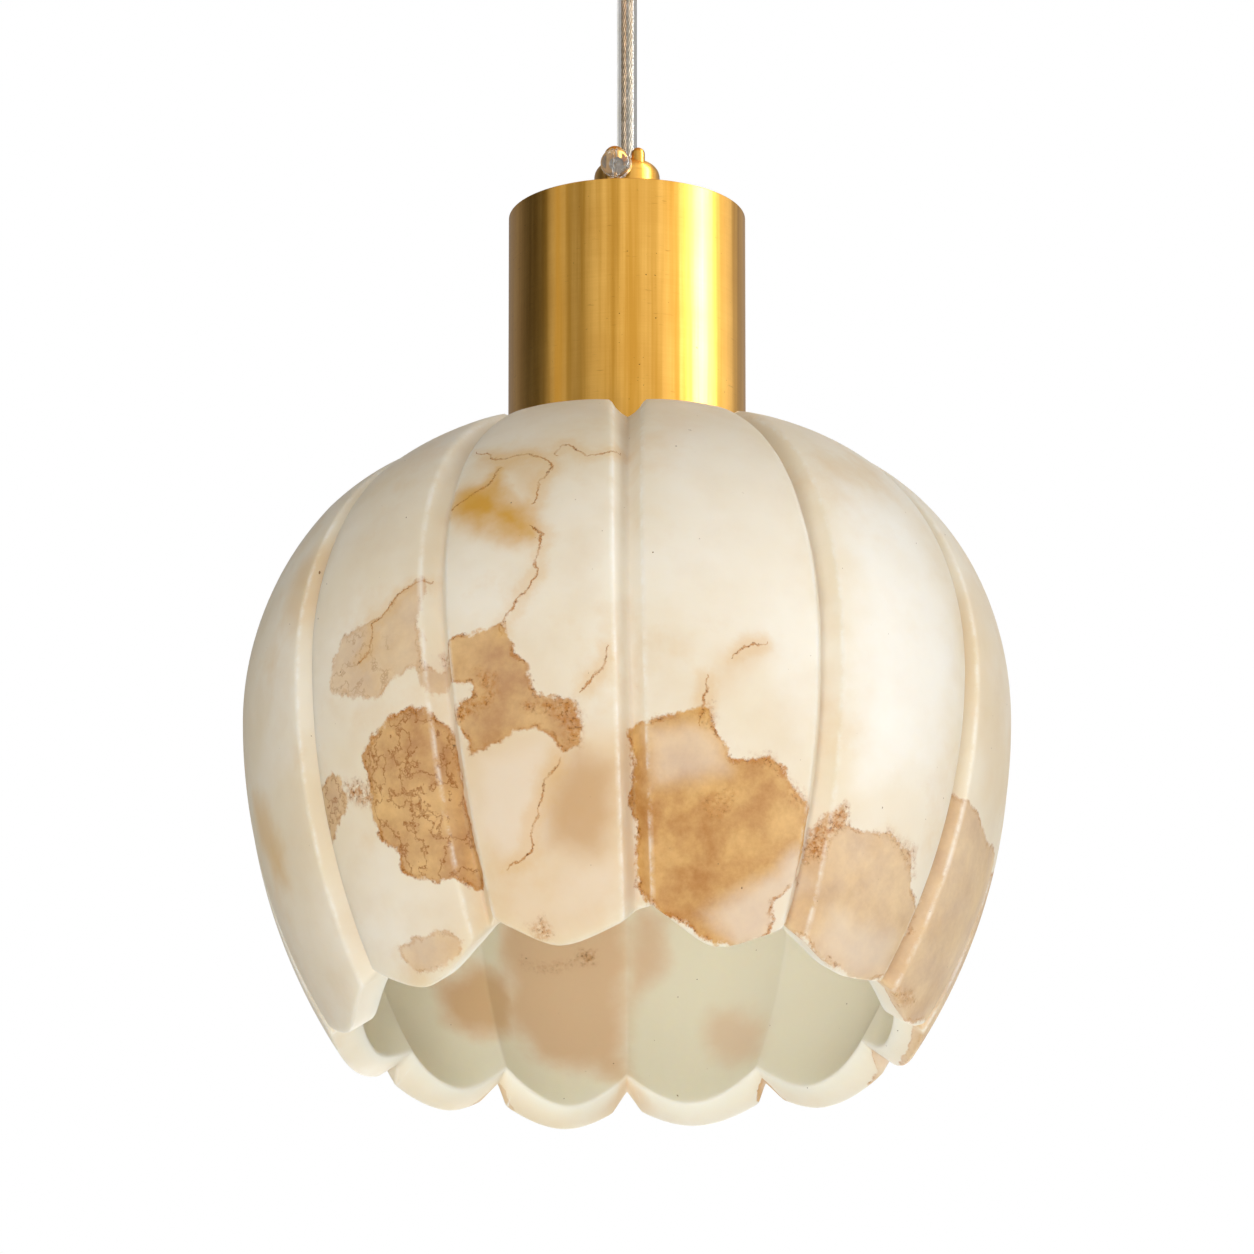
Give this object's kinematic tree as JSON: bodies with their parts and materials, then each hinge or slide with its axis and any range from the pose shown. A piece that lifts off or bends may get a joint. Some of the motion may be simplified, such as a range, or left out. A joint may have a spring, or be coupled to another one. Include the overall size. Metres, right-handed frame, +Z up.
{
  "type": "alabaster bowl pendant light",
  "caption": "Small ceiling pendant: a carved, petal-lobed alabaster bowl with a scalloped open lower edge, hung under a brushed brass cap on a clear two-core cord with a ceiling canopy.",
  "frame": {"origin": "on the ceiling, at the middle of the bracket's flat top face", "axes": "+Z up, away from the hanging light; -Y towards the viewer of the picture; +X to the viewer's right"},
  "size_m": [0.2, 0.2, 0.3383],
  "materials": {
    "satin_brass": "brushed round its axis to a satin, clear lacquered",
    "bright_brass": "turned and left bright",
    "zinc_steel": "zinc plated, dull silver",
    "nickel_plate": "nickel plated",
    "copper_strand": "bare stranded copper in clear insulation",
    "tinned_strand": "tinned stranded copper in clear insulation",
    "clear_pvc": "clear extruded PVC",
    "clear_polycarbonate": "clear moulded plastic",
    "white_nylon": "moulded, matt",
    "black_phenolic": "moulded, dull black",
    "porcelain": "white glaze",
    "silicone": "translucent grey silicone rubber",
    "black_rubber": "moulded black rubber",
    "alabaster": "carved and honed, waxed, with tan clouds and rust veins",
    "opal_diffuser": "opal white, satin",
    "white_body": "moulded white",
    "black_glass": "black insulator glass"
  },
  "bodies": {
    "ceiling": {"ceiling_bracket": "zinc_steel", "canopy_studs": "zinc_steel", "stud_lock_nuts": "zinc_steel", "canopy_dome_nuts": "satin_brass", "earth_washer": "zinc_steel", "earth_screw": "bright_brass", "terminal_block": "white_nylon", "terminal_inserts": "bright_brass", "terminal_wire_screws": "zinc_steel", "block_fixing_screw": "zinc_steel", "canopy": "satin_brass", "gland_body": "satin_brass", "gland_seal": "black_rubber", "gland_cap": "satin_brass", "gland_nut": "zinc_steel", "cord_jacket_top": "clear_pvc", "copper_core_top": "copper_strand", "tinned_core_top": "tinned_strand"},
    "cord": {"cord_jacket": "clear_pvc", "copper_core": "copper_strand", "tinned_core": "tinned_strand"},
    "pendant": {"cord_grip": "satin_brass", "grip_dome_screw": "satin_brass", "threaded_nipple": "zinc_steel", "brass_cap": "satin_brass", "cap_washer": "zinc_steel", "cap_nut": "zinc_steel", "cap_pad": "black_rubber", "cord_jacket_tail": "clear_pvc", "copper_core_tail": "copper_strand", "tinned_core_tail": "tinned_strand", "holder_dome": "black_phenolic", "holder_skirt": "black_phenolic", "holder_insulator": "porcelain", "screw_shell": "nickel_plate", "centre_contact": "bright_brass", "holder_terminals": "bright_brass", "holder_terminal_screws": "zinc_steel", "shade_gasket": "silicone", "alabaster_shade": "alabaster"},
    "clamp_shoe": {"clamp_shoe": "white_nylon"},
    "clamp_screw": {"clamp_screw": "clear_polycarbonate"},
    "ring_washer": {"ring_washer": "silicone"},
    "shade_ring": {"shade_ring": "black_phenolic"},
    "bulb_tip": {"bulb_tip_contact": "nickel_plate"},
    "bulb": {"bulb_insulator": "black_glass", "bulb_screw_base": "nickel_plate", "bulb_collar": "white_body", "bulb_globe": "opal_diffuser"}
  },
  "joints": [
    {"name": "pendant_swing", "type": "hinge", "parent": "ceiling", "child": "cord", "pos_m": [0, 0, -0.03975], "axis": [0, 1, 0], "range_deg": [-25, 25]},
    {"name": "pendant_tilt", "type": "hinge", "parent": "cord", "child": "pendant", "pos_m": [0, 0, -0.09475], "axis": [1, 0, 0], "range_deg": [-12, 12]},
    {"name": "clamp_travel", "type": "slide", "parent": "pendant", "child": "clamp_shoe", "axis": [-0.2588, -0.9659, 0], "range_m": [0, 0.0021]},
    {"name": "clamp_turn", "type": "hinge", "parent": "clamp_shoe", "child": "clamp_screw", "pos_m": [0, 0, -0.09825], "axis": [-0.2588, -0.9659, 0], "range_deg": [0, 1080]},
    {"name": "ring_travel", "type": "slide", "parent": "pendant", "child": "ring_washer", "axis": [0, 0, -1], "range_m": [0, 0.006]},
    {"name": "ring_turn", "type": "hinge", "parent": "ring_washer", "child": "shade_ring", "pos_m": [0, 0, -0.1916], "axis": [0, 0, -1], "range_deg": [0, 864]},
    {"name": "bulb_travel", "type": "slide", "parent": "pendant", "child": "bulb_tip", "axis": [0, 0, -1], "range_m": [0, 0.01815]},
    {"name": "bulb_turn", "type": "hinge", "parent": "bulb_tip", "child": "bulb", "pos_m": [0, 0, -0.2], "axis": [0, 0, -1], "range_deg": [0, 1801]}
  ],
  "couplings": [
    {"joint": "clamp_turn", "follows": "clamp_travel", "rad_per_m": 8976},
    {"joint": "ring_turn", "follows": "ring_travel", "rad_per_m": 2513.3},
    {"joint": "bulb_turn", "follows": "bulb_travel", "rad_per_m": 1731.4}
  ]
}
